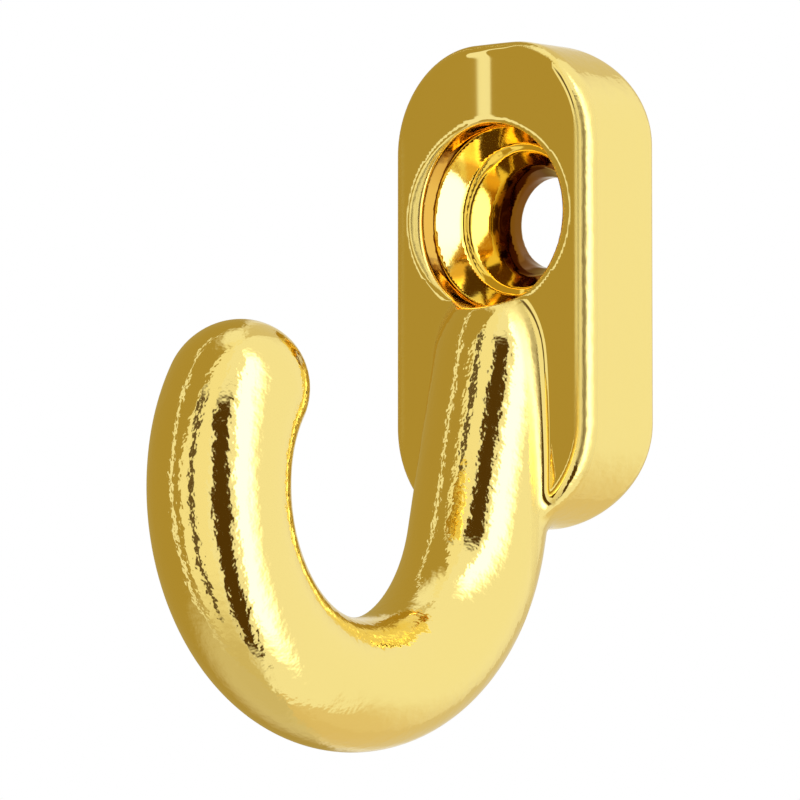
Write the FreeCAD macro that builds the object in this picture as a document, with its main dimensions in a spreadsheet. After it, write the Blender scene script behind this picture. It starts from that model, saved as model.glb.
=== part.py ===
import FreeCAD, Part
import math
import os
import Sketcher

# Picture hook: one zinc casting, an upright backplate with a screw hole and a round hook
# that grows out of its front.
# Frame: the origin is where the screw hole's axis meets the flat back of the plate.
# The back lies on Y = 0, the front faces -Y and +Z is up. Sizes are in millimetres.

os.makedirs("parts", exist_ok=True)
doc = FreeCAD.newDocument("picture_hook")

# The driving sizes

SIZES = [
    ("plate_width", 10.1, "width of the backplate"),
    ("plate_above", 6.8, "top of the plate above the screw hole's axis"),
    ("plate_below", 12.2, "bottom of the plate below the axis"),
    ("plate_corner", 4.1, "radius of the plate's four corners, seen from the front"),
    ("plate_thick", 4.32, "thickness along the middle, where the two front facets meet"),
    ("facet_angle", 1.7, "angle by which each front facet falls from the middle to the side"),
    ("ridge_round", 8.0, "radius of the soft line where the facets meet"),
    ("front_round", 0.6, "rounding of the front edge"),
    ("back_round", 0.35, "rounding of the back edge"),
    ("bore_radius", 1.8, "screw hole at the back"),
    ("bore_deep", 0.6, "length of the straight hole, from the back"),
    ("lead_rise", 0.32, "how much the hole then widens towards the seat"),
    ("lead_long", 0.75, "length of that slim cone"),
    ("seat_radius", 2.75, "outer radius of the cone that the screw head sits on"),
    ("seat_deep", 2.2, "distance of the seat's outer edge from the back"),
    ("ledge_wide", 0.2, "narrow step round the seat"),
    ("throat_rise", 0.6, "how much the recess opens from the ledge to its collar"),
    ("collar_deep", 4.05, "distance of the collar from the back"),
    ("mouth_rise", 0.08, "how much the collar opens towards the front"),
    ("mouth_round", 0.3, "rounding of the recess's rim"),
    ("rod_thick", 2.55, "half the hook's thickness, in the plane of its bend"),
    ("rod_swell", 0.23, "how much more the hook measures from its middle to each side"),
    ("bend_reach", 12.02, "centre of the bend, in front of the back"),
    ("bend_drop", 11.05, "centre of the bend, below the axis"),
    ("bend_radius", 7.3, "radius of the hook's centre line round the bend"),
    ("root_sunk", 0.94, "top of the shank's straight part, behind the middle of the front"),
    ("root_below", 2.24, "the same point, below the collar of the recess"),
    ("far_angle", 9.2, "angle above the bend's centre at which the hook starts to curl in"),
    ("curl_radius", 6.35, "radius of the curl at the free end"),
    ("curl_angle", 22.8, "angle that the curl turns"),
    ("root_dome", 3.45, "length of the rounded end of the shank, inside the plate"),
    ("tip_dome", 2.95, "length of the rounded free end"),
    ("root_blend", 0.5, "blend between the hook and the plate"),
]

# Sizes that follow from them. The shank hangs from its root and meets the bend as a tangent,
# so its lean comes from the bend's place and radius.

FOLLOWING = [
    ("lead_radius", "=bore_radius + lead_rise", "the hole where its slim cone meets the seat"),
    ("lead_deep", "=bore_deep + lead_long", "the same place, in front of the back"),
    ("collar_radius", "=seat_radius + ledge_wide + throat_rise", "the recess at its collar"),
    ("root_y", "=root_sunk - plate_thick", "top of the shank's straight part, along Y"),
    ("root_z", "=-(collar_radius + root_below)", "the same point, along Z"),
    ("root_to_bend", "=hypot(bend_reach + root_y; bend_drop + root_z)", "from there to the bend's centre"),
    (
        "shank_lean",
        "=(atan2(bend_reach + root_y; bend_drop + root_z) - asin(bend_radius / root_to_bend)) / 1 deg",
        "angle of the shank from upright",
    ),
    ("tip_angle", "=far_angle + curl_angle", "angle above the bend's centre at which the rod ends"),
    (
        "tip_y",
        "=-bend_reach - (bend_radius - curl_radius) * cos(far_angle * 1 deg)"
        " - curl_radius * cos(tip_angle * 1 deg)",
        "end of the rod along Y",
    ),
    (
        "tip_z",
        "=-bend_drop + (bend_radius - curl_radius) * sin(far_angle * 1 deg)"
        " + curl_radius * sin(tip_angle * 1 deg)",
        "end of the rod along Z",
    ),
]

sheet = doc.addObject("Spreadsheet::Sheet", "sizes")
for row, (name, value, meaning) in enumerate(SIZES + FOLLOWING, start=1):
    sheet.set("A%d" % row, name)
    sheet.set("B%d" % row, str(value))
    sheet.setAlias("B%d" % row, name)
    sheet.set("C%d" % row, meaning)
doc.recompute()
size = {name: getattr(sheet, name) for name, value, meaning in SIZES + FOLLOWING}


def origin_part(body, role):
    """The body's own origin plane or axis of that role."""
    return next(item for item in body.Origin.OriginFeatures if item.Role == role)


def sketch_on(body, name, role):
    """A sketch on one of the body's origin planes."""
    sketch = body.newObject("Sketcher::SketchObject", name)
    sketch.AttachmentSupport = (origin_part(body, role), [""])
    sketch.MapMode = "FlatFace"
    return sketch


def line(sketch, start, end):
    """A line between two points of the sketch's plane."""
    first = FreeCAD.Vector(start[0], start[1], 0)
    last = FreeCAD.Vector(end[0], end[1], 0)
    return sketch.addGeometry(Part.LineSegment(first, last), False)


def arc(sketch, centre, radius, start, end):
    """A counter-clockwise arc, its two angles in degrees."""
    circle = Part.Circle(FreeCAD.Vector(centre[0], centre[1], 0), FreeCAD.Vector(0, 0, 1), radius)
    return sketch.addGeometry(Part.ArcOfCircle(circle, math.radians(start), math.radians(end)), False)


def tie(sketch, kind, *places):
    """A constraint between places that needs no value."""
    return sketch.addConstraint(Sketcher.Constraint(kind, *places))


def measure(sketch, kind, places, value, formula):
    """A constraint whose value follows the sheet."""
    index = sketch.addConstraint(Sketcher.Constraint(kind, *places, value))
    sketch.setExpression("Constraints[%d]" % index, formula)
    return index


ORIGIN = (-1, 1)
START = 1
END = 2
CENTRE = 3

hook_body = doc.addObject("PartDesign::Body", "hook_body")
hook_body.Label = "hook_body"


# The plate's outline: an upright oblong with four round corners, padded forward from the back

def plate_outline():
    sketch = sketch_on(hook_body, "plate_outline", "XZ_Plane")
    half = size["plate_width"] / 2
    corner = size["plate_corner"]
    top = size["plate_above"]
    bottom = -size["plate_below"]
    inner = half - corner
    line(sketch, (half, bottom + corner), (half, top - corner))
    arc(sketch, (inner, top - corner), corner, 0, 90)
    line(sketch, (inner, top), (-inner, top))
    arc(sketch, (-inner, top - corner), corner, 90, 180)
    line(sketch, (-half, top - corner), (-half, bottom + corner))
    arc(sketch, (-inner, bottom + corner), corner, 180, 270)
    line(sketch, (-inner, bottom), (inner, bottom))
    arc(sketch, (inner, bottom + corner), corner, 270, 360)
    for index in range(8):
        tie(sketch, "Tangent", index, END, (index + 1) % 8, START)
    for side in (0, 4):
        tie(sketch, "Vertical", side)
    tie(sketch, "Horizontal", 6)
    for other in (3, 5, 7):
        tie(sketch, "Equal", 1, other)
    tie(sketch, "Symmetric", 2, END, 2, START, -2)
    measure(sketch, "Radius", (1,), corner, "sizes.plate_corner")
    measure(sketch, "DistanceX", (4, START, 0, START), 2 * half, "sizes.plate_width")
    measure(sketch, "DistanceY", (*ORIGIN, 2, START), top, "sizes.plate_above")
    measure(sketch, "DistanceY", (6, START, *ORIGIN), -bottom, "sizes.plate_below")
    return sketch


plate = hook_body.newObject("PartDesign::Pad", "plate")
plate.Profile = plate_outline()
plate.setExpression("Length", "1.2 * sizes.plate_thick")
doc.recompute()


# The front: two flat facets that fall away from a soft line down the middle

def facet_profile():
    sketch = sketch_on(hook_body, "facet_profile", "XY_Plane")
    half = size["plate_width"] / 2
    slope = math.radians(size["facet_angle"])
    bend = size["ridge_round"]
    centre = bend - size["plate_thick"]
    touch_x = bend * math.sin(slope)
    touch_y = centre - bend * math.cos(slope)
    edge_x = 2 * half
    edge_y = touch_y + (edge_x - touch_x) * math.tan(slope)
    front = edge_y - half
    right = line(sketch, (touch_x, touch_y), (edge_x, edge_y))
    down = line(sketch, (edge_x, edge_y), (edge_x, front))
    across = line(sketch, (edge_x, front), (-edge_x, front))
    up = line(sketch, (-edge_x, front), (-edge_x, edge_y))
    left = line(sketch, (-edge_x, edge_y), (-touch_x, touch_y))
    ridge = arc(sketch, (0, centre), bend, 270 - size["facet_angle"], 270 + size["facet_angle"])
    for first, second in ((right, down), (down, across), (across, up), (up, left)):
        tie(sketch, "Coincident", first, END, second, START)
    tie(sketch, "Tangent", left, END, ridge, START)
    tie(sketch, "Tangent", ridge, END, right, START)
    tie(sketch, "Vertical", down)
    tie(sketch, "Vertical", up)
    tie(sketch, "Horizontal", across)
    tie(sketch, "PointOnObject", ridge, CENTRE, -2)
    tie(sketch, "Symmetric", down, START, up, END, -2)
    measure(sketch, "Radius", (ridge,), bend, "sizes.ridge_round")
    measure(sketch, "DistanceY", (*ORIGIN, ridge, CENTRE), centre, "sizes.ridge_round - sizes.plate_thick")
    measure(sketch, "DistanceX", (*ORIGIN, down, START), edge_x, "sizes.plate_width")
    measure(sketch, "DistanceY", (down, END, down, START), half, "sizes.plate_width / 2")
    measure(sketch, "Angle", (right,), slope, "sizes.facet_angle * 1 deg")
    return sketch


facets = hook_body.newObject("PartDesign::Pocket", "facets")
facets.Profile = facet_profile()
facets.Midplane = True
facets.setExpression("Length", "4 * max(sizes.plate_above; sizes.plate_below)")
doc.recompute()


def middle_of(edge):
    return edge.valueAt((edge.FirstParameter + edge.LastParameter) / 2)


def on_skin(point, shape):
    """True when the point lies on one of the shape's faces."""
    return shape.Shells[0].distToShape(Part.Vertex(point))[0] < 0.001


def own_shape(feature):
    """What the feature itself adds or cuts, in the body's frame."""
    shape = feature.AddSubShape.copy()
    shape.Placement = feature.Placement.multiply(shape.Placement)
    return shape


def fillet(name, base, test, formula):
    """A fillet on the base's edges whose middle passes the test, its radius bound to the sheet."""
    edges = [edge for edge in base.Shape.Edges if not edge.Degenerated]
    chosen = [edge for edge in edges if test(middle_of(edge))]
    rounding = hook_body.newObject("PartDesign::Fillet", name)
    rounding.Base = (base, [edge_name(base.Shape, edge) for edge in chosen])
    rounding.setExpression("Radius", formula)
    doc.recompute()
    return rounding


def edge_name(shape, wanted):
    number = next(i for i, edge in enumerate(shape.Edges, start=1) if edge.isSame(wanted))
    return "Edge%d" % number


# The plate's back edge and front edge are rounded all the way round

def on_back(point):
    return abs(point.y) < 0.001


def on_front_rim(point):
    """True on the outline's side of the front, which leaves out the soft line in the middle."""
    outline = plate.Profile[0].Shape
    flat = FreeCAD.Vector(point.x, 0, point.z)
    return point.y < -size["plate_thick"] / 2 and outline.distToShape(Part.Vertex(flat))[0] < 0.001


back_edge = fillet("back_edge", facets, on_back, "sizes.back_round")
front_edge = fillet("front_edge", back_edge, on_front_rim, "sizes.front_round")


# The hook's centre line, from the foot of the shank round the bend to the free end

def hook_path():
    sketch = sketch_on(hook_body, "hook_path", "YZ_Plane")
    lean = size["shank_lean"]
    far = size["far_angle"]
    big = size["bend_radius"]
    small = size["curl_radius"]
    centre = (-size["bend_reach"], -size["bend_drop"])

    def around(middle, radius, angle):
        turn = math.radians(angle)
        return (middle[0] + radius * math.cos(turn), middle[1] + radius * math.sin(turn))

    join = around(centre, big, -lean)
    hand_over = around(centre, big, 180 - far)
    second = around(centre, big - small, 180 - far)
    tip = (size["tip_y"], size["tip_z"])
    shank = line(sketch, join, (size["root_y"], size["root_z"]))
    bend = arc(sketch, centre, big, 180 - far, 360 - lean)
    end = arc(sketch, second, small, 180 - size["tip_angle"], 180 - far)
    spoke = line(sketch, centre, hand_over)
    last_spoke = line(sketch, second, tip)
    for helper in (spoke, last_spoke):
        sketch.toggleConstruction(helper)
    tie(sketch, "Tangent", shank, START, bend, END)
    tie(sketch, "Tangent", bend, START, end, END)
    tie(sketch, "Coincident", spoke, START, bend, CENTRE)
    tie(sketch, "Coincident", spoke, END, bend, START)
    tie(sketch, "Coincident", last_spoke, START, end, CENTRE)
    tie(sketch, "Coincident", last_spoke, END, end, START)
    measure(sketch, "DistanceX", (bend, CENTRE, *ORIGIN), size["bend_reach"], "sizes.bend_reach")
    measure(sketch, "DistanceY", (bend, CENTRE, *ORIGIN), size["bend_drop"], "sizes.bend_drop")
    measure(sketch, "Radius", (bend,), big, "sizes.bend_radius")
    measure(sketch, "Radius", (end,), small, "sizes.curl_radius")
    measure(sketch, "DistanceX", (shank, END, *ORIGIN), -size["root_y"], "-sizes.root_y")
    measure(sketch, "DistanceY", (shank, END, *ORIGIN), -size["root_z"], "-sizes.root_z")
    measure(sketch, "Angle", (spoke,), math.radians(180 - far), "(180 - sizes.far_angle) * 1 deg")
    last_turn = math.radians(180 - size["tip_angle"])
    measure(sketch, "Angle", (last_spoke,), last_turn, "(180 - sizes.tip_angle) * 1 deg")
    return sketch


def stand_across(item, place_y, place_z, angle):
    """Stand a feature at a point of the YZ plane, tipped about X by a formula in degrees."""
    item.AttachmentSupport = (origin_part(hook_body, "XY_Plane"), [""])
    item.MapMode = "FlatFace"
    item.AttachmentOffset = FreeCAD.Placement(FreeCAD.Vector(0, 0, 0), FreeCAD.Rotation(1, 0, 0, 0))
    item.AttachmentOffset.Rotation.Axis = FreeCAD.Vector(1, 0, 0)
    item.setExpression("AttachmentOffset.Base.y", place_y)
    item.setExpression("AttachmentOffset.Base.z", place_z)
    item.setExpression("AttachmentOffset.Rotation.Axis.x", "1")
    item.setExpression("AttachmentOffset.Rotation.Axis.y", "0")
    item.setExpression("AttachmentOffset.Rotation.Axis.z", "0")
    item.setExpression("AttachmentOffset.Rotation.Angle", angle)


def rod_section():
    sketch = hook_body.newObject("Sketcher::SketchObject", "rod_section")
    stand_across(sketch, "sizes.root_y", "sizes.root_z", "-sizes.shank_lean * 1 deg")
    wide = size["rod_thick"] + size["rod_swell"]
    thick = size["rod_thick"]
    oval = sketch.addGeometry(Part.Ellipse(FreeCAD.Vector(0, 0, 0), wide, thick), False)
    sketch.exposeInternalGeometry(oval)
    long_axis = oval + 1
    short_axis = oval + 2
    tie(sketch, "Coincident", oval, CENTRE, *ORIGIN)
    tie(sketch, "Horizontal", long_axis)
    measure(sketch, "Distance", (long_axis,), 2 * wide, "2 * (sizes.rod_thick + sizes.rod_swell)")
    measure(sketch, "Distance", (short_axis,), 2 * thick, "2 * sizes.rod_thick")
    return sketch


hook_line = hook_path()
section = rod_section()
doc.recompute()
rod = hook_body.newObject("PartDesign::AdditivePipe", "rod")
rod.Profile = section
rod.Spine = (hook_line, ["Edge1", "Edge2", "Edge3"])
doc.recompute()


# Half an ellipsoid rounds off each end of the rod

def dome(name, place_y, place_z, angle, length):
    cap = hook_body.newObject("PartDesign::AdditiveEllipsoid", name)
    stand_across(cap, place_y, place_z, angle)
    cap.setExpression("Radius1", length)
    cap.setExpression("Radius2", "sizes.rod_thick + sizes.rod_swell")
    cap.setExpression("Radius3", "sizes.rod_thick")
    cap.Angle1 = 0
    cap.Angle2 = 90
    doc.recompute()
    return cap


root_end = dome(
    "root_end", "sizes.root_y", "sizes.root_z", "-sizes.shank_lean * 1 deg", "sizes.root_dome"
)
free_end = dome(
    "free_end", "sizes.tip_y", "sizes.tip_z", "-sizes.tip_angle * 1 deg", "sizes.tip_dome"
)


# A blend all the way round where the rod leaves the plate

def on_root(point):
    """True on the plate's skin and on the skin of the rod or of its rounded end."""
    rod_parts = (own_shape(rod), own_shape(root_end))
    return on_skin(point, front_edge.Shape) and any(on_skin(point, part) for part in rod_parts)


root = fillet("root", free_end, on_root, "sizes.root_blend")


# The stepped recess for the screw, turned about the hole's axis

def recess_profile():
    sketch = sketch_on(hook_body, "recess_profile", "XY_Plane")
    bore = size["bore_radius"]
    seat = size["seat_radius"]
    ledge = seat + size["ledge_wide"]
    collar = ledge + size["throat_rise"]
    mouth = collar + size["mouth_rise"]
    behind = size["back_round"]
    front = -1.5 * size["plate_thick"]
    corners = [
        (0, behind),
        (bore, behind),
        (bore, -size["bore_deep"]),
        (size["lead_radius"], -size["lead_deep"]),
        (seat, -size["seat_deep"]),
        (ledge, -size["seat_deep"]),
        (collar, -size["collar_deep"]),
        (mouth, front),
        (0, front),
    ]
    count = len(corners)
    for index in range(count):
        line(sketch, corners[index], corners[(index + 1) % count])
    for index in range(count):
        tie(sketch, "Coincident", index, END, (index + 1) % count, START)
    axis, wall, lead, cone, step, throat, flare, close, spine = range(count)
    for flat in (axis, step, close):
        tie(sketch, "Horizontal", flat)
    tie(sketch, "Vertical", wall)
    tie(sketch, "PointOnObject", axis, START, -2)
    tie(sketch, "PointOnObject", spine, START, -2)
    measure(sketch, "DistanceY", (*ORIGIN, wall, START), behind, "sizes.back_round")
    measure(sketch, "DistanceX", (*ORIGIN, wall, END), bore, "sizes.bore_radius")
    measure(sketch, "DistanceY", (wall, END, *ORIGIN), size["bore_deep"], "sizes.bore_deep")
    measure(sketch, "DistanceX", (*ORIGIN, lead, END), size["lead_radius"], "sizes.lead_radius")
    measure(sketch, "DistanceY", (lead, END, *ORIGIN), size["lead_deep"], "sizes.lead_deep")
    measure(sketch, "DistanceX", (*ORIGIN, cone, END), seat, "sizes.seat_radius")
    measure(sketch, "DistanceY", (cone, END, *ORIGIN), size["seat_deep"], "sizes.seat_deep")
    measure(sketch, "DistanceX", (step, START, step, END), size["ledge_wide"], "sizes.ledge_wide")
    measure(sketch, "DistanceX", (throat, START, throat, END), size["throat_rise"], "sizes.throat_rise")
    measure(sketch, "DistanceY", (throat, END, *ORIGIN), size["collar_deep"], "sizes.collar_deep")
    measure(sketch, "DistanceX", (flare, START, flare, END), size["mouth_rise"], "sizes.mouth_rise")
    measure(sketch, "DistanceY", (flare, END, *ORIGIN), -front, "1.5 * sizes.plate_thick")
    return sketch


recess = hook_body.newObject("PartDesign::Groove", "recess")
recess.Profile = recess_profile()
recess.ReferenceAxis = (origin_part(hook_body, "Y_Axis"), [""])
recess.Angle = 360
doc.recompute()


# The rim of the recess is rounded where its collar meets the facets

def on_rim(point):
    """True on the recess's wall and on the front that it was cut from."""
    in_front = point.y < -size["collar_deep"]
    return in_front and on_skin(point, root.Shape) and on_skin(point, own_shape(recess))


rim = fillet("rim", recess, on_rim, "sizes.mouth_round")


# Every feature has to have worked before the part is written

doc.recompute()
for item in doc.Objects:
    if "Invalid" in item.State or "Error" in item.State:
        raise RuntimeError("%s failed: %s" % (item.Label, item.getStatusString()))
shape = hook_body.Shape
if shape.isNull() or not shape.isValid() or len(shape.Solids) != 1:
    raise RuntimeError("the hook is not one sound solid")
shape.exportStep("parts/%s.step" % hook_body.Label)
print("volume %.1f cubic mm, %d faces" % (shape.Volume, len(shape.Faces)))
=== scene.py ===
# %% [markdown]
# # A gold picture hook
#
# The real object is one small zinc casting, 28 mm tall: an upright plate with a stepped screw
# hole, and a round hook that grows out of its front and curls up to a rounded end. The casting
# was polished and then plated with bright gold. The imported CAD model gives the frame, so first
# it is loaded and measured. All later sizes are in millimetres and are turned into metres once,
# at the end of the geometry.

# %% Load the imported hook
import math

import bpy
from mathutils import Matrix, Vector


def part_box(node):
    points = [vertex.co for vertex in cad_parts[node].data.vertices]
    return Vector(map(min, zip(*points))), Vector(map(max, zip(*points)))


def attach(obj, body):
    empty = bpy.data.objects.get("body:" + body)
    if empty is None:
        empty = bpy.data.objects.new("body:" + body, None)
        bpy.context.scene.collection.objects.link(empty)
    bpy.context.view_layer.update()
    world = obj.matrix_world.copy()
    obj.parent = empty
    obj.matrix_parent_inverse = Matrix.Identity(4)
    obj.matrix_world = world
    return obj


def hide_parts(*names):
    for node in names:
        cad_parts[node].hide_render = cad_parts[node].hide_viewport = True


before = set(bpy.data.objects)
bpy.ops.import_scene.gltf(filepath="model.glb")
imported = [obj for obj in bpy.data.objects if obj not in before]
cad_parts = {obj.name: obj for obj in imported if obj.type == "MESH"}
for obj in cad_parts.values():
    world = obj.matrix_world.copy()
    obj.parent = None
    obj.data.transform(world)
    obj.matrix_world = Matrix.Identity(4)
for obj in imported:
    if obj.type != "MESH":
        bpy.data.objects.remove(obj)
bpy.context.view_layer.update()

MM = 0.001
low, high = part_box("hook_body")
print("the CAD hook measures", [round((b - a) / MM, 2) for a, b in zip(low, high)], "mm")

# %% [markdown]
# ## Node maths as plain expressions
#
# Both the shape and the finish are worked out by node trees. Wiring Math nodes one at a time is
# hard to read, so a small class wraps a socket: adding, multiplying or comparing wrapped sockets
# adds the Math nodes. Any other node comes from one method that takes the node's type, its
# settings and what goes into its sockets.

# %% A socket that can be calculated with


class Wire:
    """One output socket of a node. Arithmetic on it adds Math nodes to its tree."""

    def __init__(self, nodes, socket):
        self.nodes = nodes
        self.socket = socket

    def math(self, operation, *values):
        inputs = dict(zip(("Value", "Value_001", "Value_002"), values))
        return self.nodes.add("ShaderNodeMath", {"operation": operation}, inputs)["Value"]

    def __add__(self, other):
        return self.math("ADD", self, other)

    def __radd__(self, other):
        return self.math("ADD", other, self)

    def __sub__(self, other):
        return self.math("SUBTRACT", self, other)

    def __rsub__(self, other):
        return self.math("SUBTRACT", other, self)

    def __mul__(self, other):
        return self.math("MULTIPLY", self, other)

    def __rmul__(self, other):
        return self.math("MULTIPLY", other, self)

    def __truediv__(self, other):
        return self.math("DIVIDE", self, other)

    def __rtruediv__(self, other):
        return self.math("DIVIDE", other, self)

    def __neg__(self):
        return self.math("MULTIPLY", self, -1)

    def __abs__(self):
        return self.math("ABSOLUTE", self)

    def __lt__(self, other):
        return self.math("LESS_THAN", self, other)

    def __gt__(self, other):
        return self.math("GREATER_THAN", self, other)

    def least(self, other):
        return self.math("MINIMUM", self, other)

    def most(self, other):
        return self.math("MAXIMUM", self, other)

    def root(self):
        return self.math("SQRT", self)

    def sin(self):
        return self.math("SINE", self)

    def cos(self):
        return self.math("COSINE", self)

    def tan(self):
        return self.math("TANGENT", self)

    def asin(self):
        return self.math("ARCSINE", self)

    def angle_from(self, other):
        """The angle of the point (other, self), in radians."""
        return self.math("ARCTAN2", self, other)


# %% [markdown]
# A node's sockets are found by their identifiers, because names repeat: a Math node has three
# inputs that are all called Value. The settings come first, as some of them change the sockets.

# %% A tree that nodes are added to


class Nodes:
    """Adds nodes to a tree, and wraps what comes out of them."""

    def __init__(self, tree):
        self.tree = tree
        self.tree.nodes.clear()

    def add(self, kind, settings=None, inputs=None):
        """A node of that type, as a dict of its outputs by identifier."""
        node = self.tree.nodes.new(kind)
        for name, value in (settings or {}).items():
            setattr(node, name, value)
        sockets = {socket.identifier: socket for socket in node.inputs}
        for name, value in (inputs or {}).items():
            if isinstance(value, Wire):
                self.tree.links.new(value.socket, sockets[name])
            else:
                sockets[name].default_value = value
        return {socket.identifier: Wire(self, socket) for socket in node.outputs}


# %% Distances


def length(*parts):
    """The length of a vector, from its two or three parts."""
    total = parts[0] * parts[0]
    for part in parts[1:]:
        total = total + part * part
    return total.root()


# %% [markdown]
# ## The hook as one rule
#
# A mirror shows every facet of a mesh, and a CAD mesh has many long thin triangles. The casting
# has a simple rule though: the distance of any point from its skin, negative inside. Plate, rod
# and screw recess each have a short formula, two forms join with a fillet where their distances
# are blended, and a hole is a form that is taken away. Geometry Nodes works that rule out on a
# fine grid and puts a smooth, even skin where it is zero. The sizes are those of the CAD model,
# with a few small differences: the plate's back edge is rounder at its two ends, the recess's
# throat reaches a little deeper and its rim is worn off at the two sides, and the root's fillet
# and the free end's dome are a little smaller.

# %% The sizes of the casting, in millimetres
SIZES = {
    "plate width": 10.1,
    "plate above": 6.8,
    "plate below": 12.2,
    "plate corner": 4.1,
    "plate thick": 4.32,
    "facet angle": 1.7,
    "ridge round": 8.0,
    "front round": 0.6,
    "back round": 0.35,
    "back end round": 1.6,
    "bore radius": 1.8,
    "bore deep": 0.6,
    "lead rise": 0.32,
    "lead long": 0.75,
    "seat radius": 2.75,
    "seat deep": 2.2,
    "ledge wide": 0.2,
    "throat rise": 0.66,
    "collar deep": 3.22,
    "mouth rise": 0.04,
    "mouth round": 0.14,
    "rim wide": 0.42,
    "rim angle": 24.0,
    "rod thick": 2.55,
    "rod swell": 0.23,
    "bend reach": 12.02,
    "bend drop": 11.05,
    "bend radius": 7.3,
    "root sunk": 0.94,
    "root below": 2.18,
    "far angle": 9.2,
    "curl radius": 6.35,
    "curl angle": 22.8,
    "root dome": 3.45,
    "tip dome": 2.75,
    "root blend": 0.4,
    "grid step": 0.12,
}
print(len(SIZES), "sizes")

# %% [markdown]
# ### The tree
#
# Each size is an input of the tree with its own name, so that another plate or a wider bend can
# be tried by changing an input. The expressions below then work with the inputs' sockets.

# %% The tree and its named inputs
skin_tree = bpy.data.node_groups.new("hook skin", "GeometryNodeTree")
skin_tree.is_modifier = True
panel = skin_tree.interface
panel.new_socket("Geometry", in_out="INPUT", socket_type="NodeSocketGeometry")
for name, value in SIZES.items():
    panel.new_socket(name, in_out="INPUT", socket_type="NodeSocketFloat").default_value = value
panel.new_socket("finish", in_out="INPUT", socket_type="NodeSocketMaterial")
result = panel.new_socket("Geometry", in_out="OUTPUT", socket_type="NodeSocketGeometry")

# %% The inputs and the point that the rule is worked out for
nodes = Nodes(skin_tree)
given = nodes.add("NodeGroupInput")
identifiers = {item.name: item.identifier for item in panel.items_tree if item.in_out == "INPUT"}
size = {name: given[identifiers[name]] for name in SIZES}
place = nodes.add("GeometryNodeInputPosition")["Position"]
part = nodes.add("ShaderNodeSeparateXYZ", None, {"Vector": place})
x, y, z = part["X"], part["Y"], part["Z"]
ahead = -y

# %% [markdown]
# ### Soft corners
#
# A casting has no sharp corner: metal fills the inner ones with a fillet, and polishing rounds
# the outer ones. Near a corner both distances are smaller than the radius, and there the length
# of the two shortfalls, taken as one vector, draws a quarter circle between the two forms.

# %% Joining and cutting with rounded edges


def joined(first, second, radius):
    """Both forms, with a fillet of that radius in the corner where they meet."""
    corner = length((radius - first).most(0), (radius - second).most(0))
    return first.least(second).most(radius) - corner


def shared(first, second, radius):
    """What both forms have in common, with its edge rounded to that radius."""
    edge = length((first + radius).most(0), (second + radius).most(0))
    return first.most(second).least(radius * -1) + edge


# %% [markdown]
# ### The plate
#
# Seen from the front it is an upright oblong with nearly half-round ends. Its front is two faces
# that fall a little from the middle to the sides and meet in a soft ridge, so that polished gold
# shows a bright upright line there. The back edge is rounder at the two ends than along the
# sides, and the recess's rim is worn off at its two sides.

# %% The radius of the recess where its straight collar starts, and at its mouth
collar_radius = size["seat radius"] + size["ledge wide"] + size["throat rise"]
mouth_radius = collar_radius + size["mouth rise"]
DEGREE = math.radians(1)
TINY = 0.05

# %% The plate's front: two faces, a soft ridge and the worn rim of the recess


def plate_front():
    slope = (size["facet angle"] * DEGREE).tan()
    soft = size["ridge round"] * slope
    fall = slope * (length(x, soft) - soft)
    above_face = ahead - size["plate thick"] + fall
    from_hole = length(x, z, TINY)
    beside_hole = abs(x) / from_hole
    rim = mouth_radius + size["rim wide"] * beside_hole * beside_hole
    steep = size["rim angle"] * DEGREE
    worn = above_face * steep.cos() + (rim - from_hole) * steep.sin()
    return (above_face / (1 + slope * slope).root()).most(worn)


# %% The plate: an outline with round corners, a flat back and that front


def plate():
    corner = size["plate corner"]
    beside = abs(x) - (size["plate width"] / 2 - corner)
    middle = (size["plate above"] - size["plate below"]) / 2
    beyond = abs(z - middle) - ((size["plate above"] + size["plate below"]) / 2 - corner)
    outline = length(beside.most(0), beyond.most(0)) + beside.most(beyond).least(0) - corner
    upright = beyond.most(0) / length(beside.most(0), beyond.most(0), TINY)
    ends = upright * upright
    back_round = size["back round"] + ends * (size["back end round"] - size["back round"])
    return shared(shared(outline, plate_front(), size["front round"]), y, back_round)


plate_form = plate()
print("the plate takes", len(skin_tree.nodes), "nodes")

# %% [markdown]
# ### The rod
#
# The hook is one rod, a little wider than it is thick. It leaves the plate as a straight shank,
# runs round the bend and turns tighter in the curl. The shank touches the bend's circle, and the
# angle at which it leans follows from where its root and the circle's centre are. A stretch of
# the rod ends in half an ellipsoid, which at its two ends is long and at the joints lies inside
# the next stretch.

# %% Where the rod's root and the bend lie
JOINT_CAP = 1.0
far = size["far angle"] * DEGREE
curl = size["curl angle"] * DEGREE
root_y = size["root sunk"] - size["plate thick"]
root_z = -(collar_radius + size["root below"])
bend_y = -size["bend reach"]
bend_z = -size["bend drop"]
root_to_bend = length(root_y - bend_y, root_z - bend_z)
lean = (root_y - bend_y).angle_from(root_z - bend_z) - (size["bend radius"] / root_to_bend).asin()

# %% A stretch of the rod: straight, or on an arc


def oval(side, over):
    """Distance from the rod's skin: side is measured from the centre line, over past its end."""
    wide = size["rod thick"] + size["rod swell"]
    return (length(x / wide, side / size["rod thick"], over) - 1) * size["rod thick"]


def shank():
    right = y - root_y
    up = z - root_z
    along = right * lean.sin() + up * lean.cos()
    straight = (root_to_bend * root_to_bend - size["bend radius"] * size["bend radius"]).root()
    past_root = along.most(0) / size["root dome"]
    past_bend = (-along - straight).most(0) / JOINT_CAP
    return oval(right * lean.cos() - up * lean.sin(), past_root + past_bend)


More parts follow.
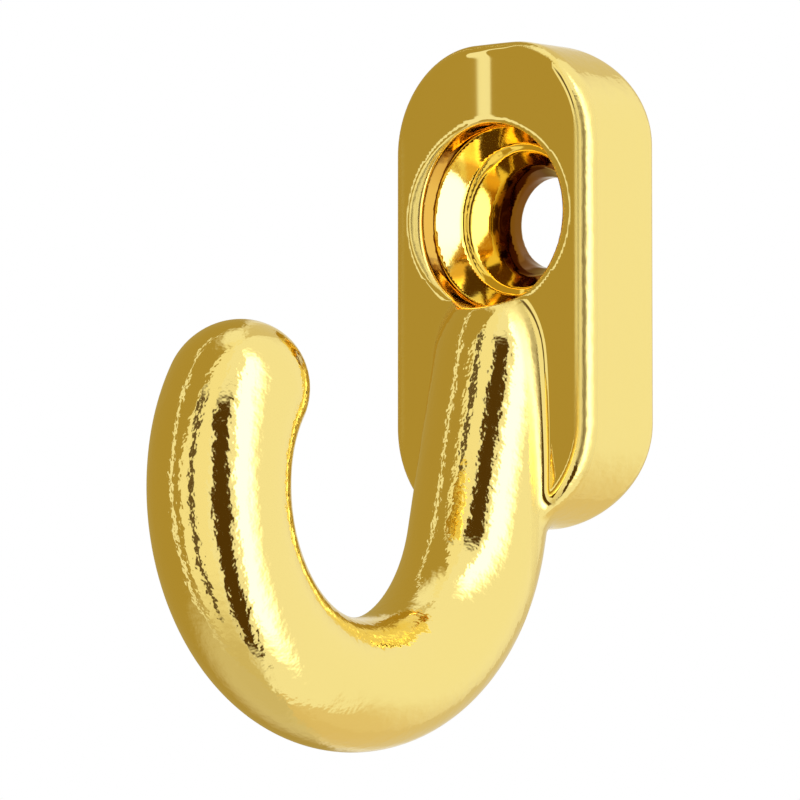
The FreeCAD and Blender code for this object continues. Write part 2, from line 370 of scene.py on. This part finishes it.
def ring(centre_y, centre_z, radius, middle, half, first_cap, last_cap):
    """A stretch of the rod on an arc, between the angles middle - half and middle + half."""
    right = y - centre_y
    up = z - centre_z
    away = length(right, up)
    inward = right * middle.cos() + up * middle.sin()
    sideways = up * middle.cos() - right * middle.sin()
    past = (abs(sideways).angle_from(inward) - half).most(0)
    first = sideways < 0
    cap = last_cap + first * (first_cap - last_cap)
    return oval(away * past.cos() - radius, away * past.sin() / cap)


# %% The whole rod


def rod():
    shift = size["bend radius"] - size["curl radius"]
    bend_middle = 1.5 * math.pi - (far + lean) / 2
    bend_half = 0.5 * math.pi + (far - lean) / 2
    bend = ring(bend_y, bend_z, size["bend radius"], bend_middle, bend_half, JOINT_CAP, JOINT_CAP)
    curl_y = bend_y - shift * far.cos()
    curl_z = bend_z + shift * far.sin()
    middle = math.pi - far - curl / 2
    end = ring(curl_y, curl_z, size["curl radius"], middle, curl / 2, size["tip dome"], JOINT_CAP)
    return shank().least(bend).least(end)


rod_form = rod()
print("with the rod it is", len(skin_tree.nodes), "nodes")

# %% [markdown]
# ### The recess
#
# A countersunk screw goes in from the front. From the back to the front there is a straight hole
# for its shank, a short lead cone, the cone that its head sits on, a narrow ledge, a flared
# throat and a nearly straight collar. All of them are turned round one axis, so each is a cone
# with its own start, end and rise.

# %% The cones and the straight hole
SOFT_EDGE = 0.08


def flared(radius, start, end, rise):
    """Inside of a cone that opens by rise between the depths start and end."""
    slope = rise / (end - start)
    out = length(x, z) - radius - (ahead - start) * slope
    return out / (1 + slope * slope).root()


def recess():
    hole = length(x, z) - size["bore radius"]
    lead_radius = size["bore radius"] + size["lead rise"]
    lead_deep = size["bore deep"] + size["lead long"]
    lead = flared(size["bore radius"], size["bore deep"], lead_deep, size["lead rise"])
    seat_rise = size["seat radius"] - lead_radius
    seat = flared(lead_radius, lead_deep, size["seat deep"], seat_rise)
    ledge = size["seat radius"] + size["ledge wide"]
    throat = flared(ledge, size["seat deep"], size["collar deep"], size["throat rise"])
    ahead_of_plate = size["plate thick"] * 1.5
    collar = flared(collar_radius, size["collar deep"], ahead_of_plate, size["mouth rise"])
    wall = throat.most(collar)
    wide_part = shared(wall, size["seat deep"] - ahead, SOFT_EDGE / 2)
    narrow_part = hole.least(lead.most(ahead - lead_deep))
    return joined(narrow_part, joined(seat.most(wall), wide_part, SOFT_EDGE), SOFT_EDGE)


# %% The whole casting
solid = joined(plate_form, rod_form, size["root blend"])
near_front = (ahead - size["seat deep"]).most(0).least(1)
rim_round = SOFT_EDGE + near_front * (size["mouth round"] - SOFT_EDGE)
casting = shared(solid, -recess(), rim_round)
print("the rule takes", len(skin_tree.nodes), "nodes")

# %% [markdown]
# ## From the rule to a mesh
#
# Volume Cube works the rule out at every point of a grid round the hook, and Volume to Mesh
# draws the skin through the points where it is zero. The grid cuts corners a little, so each
# point of the skin is then pushed out or in by the rule's own value there. The result is scaled
# from millimetres to metres, shaded smooth and given its finish.

# %% The grid
MARGIN = 0.6
box_low = [a / MM - MARGIN for a in low]
box_high = [b / MM + MARGIN for b in high]
step = size["grid step"]
counts = {
    "Resolution " + axis: (b - a) / step for axis, a, b in zip("XYZ", box_low, box_high)
}
cube = nodes.add(
    "GeometryNodeVolumeCube",
    None,
    {"Density": -casting, "Background": -1.0, "Min": box_low, "Max": box_high, **counts},
)

# %% The skin, with its points put exactly where the rule is zero
skin = nodes.add(
    "GeometryNodeVolumeToMesh", None, {"Volume": cube["Volume"], "Threshold": 0.0}
)
outward = nodes.add("GeometryNodeInputNormal")["Normal"]
settings = {"operation": "SCALE"}
nudge = nodes.add("ShaderNodeVectorMath", settings, {"Vector": outward, "Scale": -casting})
exact = nodes.add(
    "GeometryNodeSetPosition", None, {"Geometry": skin["Mesh"], "Offset": nudge["Vector"]}
)

# %% In metres, smooth and with its finish
small = nodes.add(
    "GeometryNodeTransform", None, {"Geometry": exact["Geometry"], "Scale": (MM, MM, MM)}
)
smooth = nodes.add("GeometryNodeSetShadeSmooth", None, {"Geometry": small["Geometry"]})
real = nodes.add("GeometryNodeRealizeInstances", None, {"Geometry": smooth["Geometry"]})
coloured = nodes.add(
    "GeometryNodeSetMaterial",
    None,
    {"Geometry": real["Geometry"], "Material": given[identifiers["finish"]]},
)
nodes.add("NodeGroupOutput", None, {result.identifier: coloured["Geometry"]})
print("the tree has", len(skin_tree.nodes), "nodes")

# %% [markdown]
# ## Bright gold plating
#
# The plating is a mirror, so it has almost no colour of its own apart from the tint that it gives
# to reflections. What tells it from a drawing is its grain: the casting under the thin gold was
# tumbled, and its sides kept a fine orange-peel that breaks up the edges of each reflection. The
# front faces were polished flat, so they stay calm.

# %% The plating's tree, and where a point of the skin lies, in millimetres
plating = bpy.data.materials.new("gold plating")
plating.use_nodes = True
shade = Nodes(plating.node_tree)
spot = shade.add("ShaderNodeTexCoord")["Object"]
coords = shade.add("ShaderNodeSeparateXYZ", None, {"Vector": spot})
across, along = coords["X"] / MM, coords["Z"] / MM
reach = -coords["Y"] / MM
from_axis = length(across, along)

# %% Where the finish changes, in millimetres from the back or from the recess's axis
FRONT_AT = SIZES["plate thick"]
SIDE_AT = SIZES["plate width"] / 2
LEAD_AT = SIZES["bore deep"] + SIZES["lead long"]
SEAT_AT = SIZES["seat deep"]
COLLAR_AT = SIZES["collar deep"]
LEDGE_RADIUS = SIZES["seat radius"] + SIZES["ledge wide"]
RIM_RADIUS = LEDGE_RADIUS + SIZES["throat rise"] + SIZES["mouth rise"]
print("the recess is", round(2 * RIM_RADIUS, 2), "mm wide at its rim")

# %% Soft edges, grain and tints


def fade(value, first, last):
    """0 at the first value, 1 at the last, and soft between."""
    ends = {"Value": value, "From Min": first, "From Max": last}
    settings = {"interpolation_type": "SMOOTHSTEP"}
    return shade.add("ShaderNodeMapRange", settings, ends)["Result"]


def bumps(scale):
    """Noise from 0 to 1, with that many bumps to the metre."""
    settings = {"noise_dimensions": "3D"}
    inputs = {"Vector": spot, "Scale": scale, "Detail": 1.0, "Roughness": 0.55}
    return shade.add("ShaderNodeTexNoise", settings, inputs)["Fac"]


def tinted(below, colour, amount):
    """The colour, mixed by that amount into what is below it."""
    inputs = {"Factor_Float": amount, "A_Color": below, "B_Color": colour}
    return shade.add("ShaderNodeMix", {"data_type": "RGBA"}, inputs)["Result_Color"]


# %% [markdown]
# ### Colour, with painted light in the recess
#
# Inside the recess the colour holds painted light. Light that bounces from gold to gold loses
# more of its blue with each bounce, and the hole lies in shade, so both are painted into the
# colour: a painted warm bounce makes the cone a deep yellow, painted shade makes the straight
# hole brown, and a painted shade band makes the collar orange.

# %% Colour
GOLD = (0.92, 0.745, 0.25, 1.0)
# Painted light for the recess: a painted warm bounce for the cone, painted shade for the straight
# hole and a painted shade band for the collar.
CONE_PAINTED_BOUNCE = (0.95, 0.66, 0.1, 1.0)
BORE_PAINTED_SHADE = (0.2, 0.075, 0.005, 1.0)
COLLAR_PAINTED_SHADE = (0.85, 0.5, 0.08, 1.0)
# Masks for the painted bounce and painted shade: the hole inside the ledge, and the collar from
# its start to just short of the front.
off_the_back = fade(reach, 0.0, 0.1)
hole_painted_light_mask = (1 - fade(from_axis, LEDGE_RADIUS + 0.05, LEDGE_RADIUS + 0.15)) * off_the_back
collar_painted_shade_mask = 1 - fade(from_axis, RIM_RADIUS + 0.03, RIM_RADIUS + 0.11)
collar_painted_shade_mask = collar_painted_shade_mask * fade(reach, COLLAR_AT - 0.02, COLLAR_AT + 0.08)
collar_painted_shade_mask = collar_painted_shade_mask * (1 - fade(reach, FRONT_AT - 0.37, FRONT_AT - 0.17))
# The painted bounce and the painted shade are mixed into the gold.
colour = tinted(GOLD, CONE_PAINTED_BOUNCE, hole_painted_light_mask * (1 - fade(reach, SEAT_AT + 0.1, SEAT_AT + 0.3)))
colour = tinted(colour, BORE_PAINTED_SHADE, hole_painted_light_mask * (1 - fade(reach, LEAD_AT - 0.1, LEAD_AT + 0.25)))
colour = tinted(colour, COLLAR_PAINTED_SHADE, collar_painted_shade_mask)

# %% [markdown]
# ### Polish and grain
#
# The front faces have the sharpest mirror. Handling dulls the long front edges and the worn rim
# of the recess, and no polishing wheel gets into the hollow round the hook's root. The grain is
# coarse bumps with finer ones on top, about a hundredth of a millimetre high, and it fades out on
# the front faces and in the recess.

# %% Polish
smooth_face = (reach > FRONT_AT - 0.2) * (reach < FRONT_AT + 0.04)
worn_rim = fade(from_axis, RIM_RADIUS - 0.05, RIM_RADIUS + 0.05)
worn_rim = worn_rim * (1 - fade(from_axis, RIM_RADIUS + 0.55, RIM_RADIUS + 0.65))
worn_rim = worn_rim * fade(reach, FRONT_AT - 0.52, FRONT_AT - 0.42)
worn_rim = worn_rim * (1 - fade(reach, FRONT_AT - 0.14, FRONT_AT - 0.1))
long_edge = fade(abs(across), SIDE_AT - 0.75, SIDE_AT - 0.55)
long_edge = long_edge * fade(reach, FRONT_AT - 0.92, FRONT_AT - 0.72)
long_edge = long_edge * (1 - fade(reach, FRONT_AT - 0.12, FRONT_AT - 0.02))
hollow = fade(reach, FRONT_AT - 0.02, FRONT_AT + 0.08)
hollow = hollow * (1 - fade(reach, FRONT_AT + 0.38, FRONT_AT + 0.63))
roughness = 0.07 - smooth_face * 0.045 + long_edge * 0.23 + worn_rim * 0.18 + hollow * 0.3

# %% Grain
GRAIN_HIGH = 0.00001
FINE = 4800.0
COARSE = 1400.0
in_recess = (1 - fade(from_axis, RIM_RADIUS + 0.25, RIM_RADIUS + 0.35)) * fade(reach, 0.05, 0.2)
in_recess = in_recess * (1 - fade(reach, FRONT_AT + 0.08, FRONT_AT + 0.18))
calm = smooth_face.most(in_recess * 0.9)
grain = (bumps(FINE) * 1.1 + bumps(COARSE) * 2.8) * (1 - calm)
relief = shade.add(
    "ShaderNodeBump", None, {"Strength": 1.0, "Distance": GRAIN_HIGH, "Height": grain}
)

# %% The metal
metal = shade.add(
    "ShaderNodeBsdfPrincipled",
    None,
    {
        "Base Color": colour,
        "Metallic": 1.0,
        "Roughness": roughness,
        "Normal": relief["Normal"],
    },
)
shade.add("ShaderNodeOutputMaterial", None, {"Surface": metal["BSDF"]})
print("the plating takes", len(plating.node_tree.nodes), "nodes")

# %% [markdown]
# ## The finished hook
#
# The tree runs as a modifier on an empty mesh. Its result is taken as a plain mesh, because what
# is handed on must not change any more, and the holder with its modifier goes away. The hook
# then rides on the casting's body and stands in for its CAD mesh.

# %% Run the tree and keep its mesh
holder = bpy.data.objects.new("skin holder", bpy.data.meshes.new("skin holder"))
bpy.context.scene.collection.objects.link(holder)
maker = holder.modifiers.new("skin", "NODES")
maker.node_group = skin_tree
for name, value in SIZES.items():
    maker[identifiers[name]] = value
maker[identifiers["finish"]] = plating
evaluated = holder.evaluated_get(bpy.context.evaluated_depsgraph_get())
skin_mesh = bpy.data.meshes.new_from_object(evaluated)
bpy.data.objects.remove(holder)
skin_mesh.materials.clear()
skin_mesh.materials.append(plating)
skin_mesh.polygons.foreach_set("material_index", [0] * len(skin_mesh.polygons))

# %% The hook in the frame
hook = bpy.data.objects.new("hook_skin", skin_mesh)
bpy.context.scene.collection.objects.link(hook)
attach(hook, "root")
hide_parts("hook_body")
print("hook_skin has", len(skin_mesh.polygons), "faces,", list(skin_mesh.materials))

# %% [markdown]
# ## The camera
#
# It stands to the right of the hook and a little below it, well back with a long lens, so that
# upright edges stay upright. The lens follows from how wide a strip it sees at the hook.

# %% Camera
AIM = Vector((0.0, -0.009, -0.00667))
AZIMUTH = 41.84
ELEVATION = -3.75
DISTANCE = 0.214
SENSOR = 36.0
WIDTH_SEEN = 0.03065


def direction(azimuth, elevation):
    """The unit vector from the hook towards that azimuth, counted from the front to +X."""
    a = math.radians(azimuth)
    e = math.radians(elevation)
    return Vector((math.sin(a) * math.cos(e), -math.cos(a) * math.cos(e), math.sin(e)))


lens = bpy.data.cameras.new("camera")
lens.sensor_width = SENSOR
lens.lens = SENSOR * DISTANCE / WIDTH_SEEN
lens.shift_x = -0.0068
lens.shift_y = -0.0246
lens.clip_start = 0.01
camera = bpy.data.objects.new("camera", lens)
camera.location = AIM + direction(AZIMUTH, ELEVATION) * DISTANCE
camera.rotation_euler = (AIM - camera.location).to_track_quat("-Z", "Y").to_euler()
bpy.context.scene.collection.objects.link(camera)
bpy.context.scene.camera = camera

# %% [markdown]
# ## World and floor
#
# The white world lights the hook evenly. Where the camera or a reflection sees it, it is pure
# white, and as a light it is a little weaker. The floor is plain and pale, and well under the
# hook, because a hook hangs. The gold doesn't mirror it, as the tent below stands for it.

# %% White world
WORLD_LIGHT = 0.7
world = bpy.data.worlds.new("white room")
bpy.context.scene.world = world
world.use_nodes = True
air = Nodes(world.node_tree)
ray = air.add("ShaderNodeLightPath")
seen = ray["Is Camera Ray"].most(ray["Is Glossy Ray"]).most(ray["Is Transmission Ray"])
strength = WORLD_LIGHT + seen * (1 - WORLD_LIGHT)
light = air.add("ShaderNodeBackground", None, {"Color": (1, 1, 1, 1), "Strength": strength})
air.add("ShaderNodeOutputWorld", None, {"Surface": light["Background"]})

# %% Floor
FLOOR_DROP = 0.06
FLOOR_SIZE = 0.6
bpy.ops.mesh.primitive_circle_add(vertices=96, radius=FLOOR_SIZE, fill_type="NGON")
floor = bpy.context.object
floor.name = "floor"
floor.data.transform(Matrix.Translation((0, 0, -FLOOR_DROP)))
paint = bpy.data.materials.new("pale floor")
paint.use_nodes = True
cover = Nodes(paint.node_tree)
matt = {"Base Color": (0.8, 0.8, 0.8, 1), "Roughness": 0.6}
plain = cover.add("ShaderNodeBsdfPrincipled", None, matt)
cover.add("ShaderNodeOutputMaterial", None, {"Surface": plain["BSDF"]})
floor.data.materials.append(paint)
floor.visible_glossy = False

# %% [markdown]
# ## A light tent
#
# Bright metal is photographed inside a tent of white cloth, with a few coloured and dark cards
# hung in it, because a mirror shows nothing but what stands round it. Here the tent is a dome
# whose glow depends only on the direction: round the hook by azimuth, and up or down by height.
# The camera looks through it, and only reflections see it.

# %% The tent's directions and soft edges
TENT_RADIUS = 0.5
tent_paint = bpy.data.materials.new("light tent")
tent_paint.use_nodes = True
tent = Nodes(tent_paint.node_tree)
wall = tent.add("ShaderNodeTexCoord")["Object"]
wall_at = tent.add("ShaderNodeSeparateXYZ", None, {"Vector": wall})
east, north, up = wall_at["X"] - AIM.x, wall_at["Y"] - AIM.y, wall_at["Z"] - AIM.z
azimuth = east.angle_from(-north) * math.degrees(1)
height = up.angle_from(length(east, north)) * math.degrees(1)

# %% Soft edges on the tent, in degrees

def past(value, edge, soft):
    """0 below the edge and 1 above it, with a soft change between."""
    ends = {"Value": value, "From Min": edge - soft / 2, "From Max": edge + soft / 2}
    settings = {"interpolation_type": "SMOOTHSTEP"}
    return tent.add("ShaderNodeMapRange", settings, ends)["Result"]


def between(value, first, last, soft):
    """1 between two edges and 0 elsewhere, with soft changes."""
    return past(value, first, soft) * (1 - past(value, last, soft))


def laid_over(below, colour, amount):
    """The colour over what is below it."""
    inputs = {"Factor_Float": amount, "A_Color": below, "B_Color": (*colour, 1)}
    return tent.add("ShaderNodeMix", {"data_type": "RGBA"}, inputs)["Result_Color"]


# %% [markdown]
# ### The cloth
#
# The cloth is white, honey-coloured just left of the front, and greyer behind the hook and low
# behind it. Edges lean with height: a surface that tilts up mirrors a spot further round, and a
# leaning edge keeps its reflection straight on the rounded ends.

# %% The cloth
HONEY = (1.0, 0.97, 0.85)
SHADE = (0.74, 0.66, 0.5)
DUSK = (0.8, 0.66, 0.45)
behind_left = 1 - past(azimuth, -140, 20)
behind = past(azimuth, 135, 15).most(behind_left)
glow = laid_over((1, 1, 1, 1), SHADE, past(azimuth, 182, 50))
glow = laid_over(glow, HONEY, between(azimuth, -35, 16, 2))
glow = laid_over(glow, SHADE, behind_left)

# %% [markdown]
# ### The amber cards
#
# One large amber card stands on the left, and the plate's front faces mirror it. It has a narrow
# upright gap, 44 to 39 degrees to the left. Only the ridge of the plate mirrors the gap, as a
# bright line. Low down the card fades into the cloth.

# %% The amber cards
AMBER = (0.46, 0.34, 0.1)
CARD_LEFT = -138
CARD_RIGHT = -28.5
CARD_TOP = 66
GAP_LEFT = -44.3
GAP_RIGHT = -38.7
LEAN_FROM = 5
above = (height - LEAN_FROM).most(0)
leaning = azimuth + above * above * 0.0145
far_card = past(azimuth, CARD_LEFT, 6) * (1 - past(leaning, GAP_LEFT, 0.4))
near_card = past(leaning, GAP_RIGHT, 0.4) * (1 - past(azimuth - above * 0.4, CARD_RIGHT, 1))
cards = far_card.most(near_card) * (1 - past(height, CARD_TOP, 14))
level = past(height, -48, 40)
low_cloth = between(azimuth, -150, 30, 60) * (1 - level)
glow = laid_over(glow, AMBER, cards * level)
glow = laid_over(glow, AMBER, low_cloth * 0.6)

# %% [markdown]
# ### Dark strips and the lamp
#
# Metal looks like metal when a dark strip stands right next to a bright light. A narrow and a
# wide brown strip draw the dark lines down the hook, and a soft lamp on the right, three times
# as bright as the cloth, puts a white band beside the wide one.

# %% Dark strips and the lamp
BROWN = (0.09, 0.045, 0.006)
LAMP = (3.0, 3.0, 3.2)
NARROW_STRIP = (-13, -5)
WIDE_STRIP = (24, 50)
LAMP_LEFT = 60
LAMP_RIGHT = 90
tilted = azimuth + above * 0.3
narrow_strip = between(azimuth, *NARROW_STRIP, 2) * between(height, -50, 40, 10)
wide_strip = between(tilted, *WIDE_STRIP, 3) * between(height, -66, 36, 10)
lamp = past(tilted, LAMP_LEFT, 5) * (1 - past(tilted, LAMP_RIGHT, 26))
lamp = lamp * between(height, -50, 60, 20)
low_behind = behind * (1 - past(height, -32, 36))
glow = laid_over(glow, BROWN, narrow_strip * 0.95)
glow = laid_over(glow, BROWN, wide_strip)
glow = laid_over(glow, DUSK, low_behind * 0.85)
glow = laid_over(glow, LAMP, lamp)
lit = tent.add("ShaderNodeEmission", None, {"Color": glow, "Strength": 1.0})
tent.add("ShaderNodeOutputMaterial", None, {"Surface": lit["Emission"]})

# %% [markdown]
# ### The dome
#
# The tent is a sphere turned inside out. It is hidden from the camera and from all light that is
# not a reflection, so it gives the hook its colours and leaves the floor and its shadow alone.

# %% The tent itself
bpy.ops.mesh.primitive_uv_sphere_add(segments=96, ring_count=48, radius=TENT_RADIUS)
dome = bpy.context.object
dome.name = "light tent"
dome.data.transform(Matrix.Translation(AIM))
dome.data.flip_normals()
dome.data.materials.append(tent_paint)
dome.visible_camera = False
dome.visible_diffuse = False
dome.visible_shadow = False
dome.visible_transmission = False
print("the tent stands", TENT_RADIUS, "m from the hook")

# %% [markdown]
# ## Showing the colours
#
# The colours are shown as they are, without a film look.

# %% Finish
bpy.context.scene.view_settings.view_transform = "Standard"
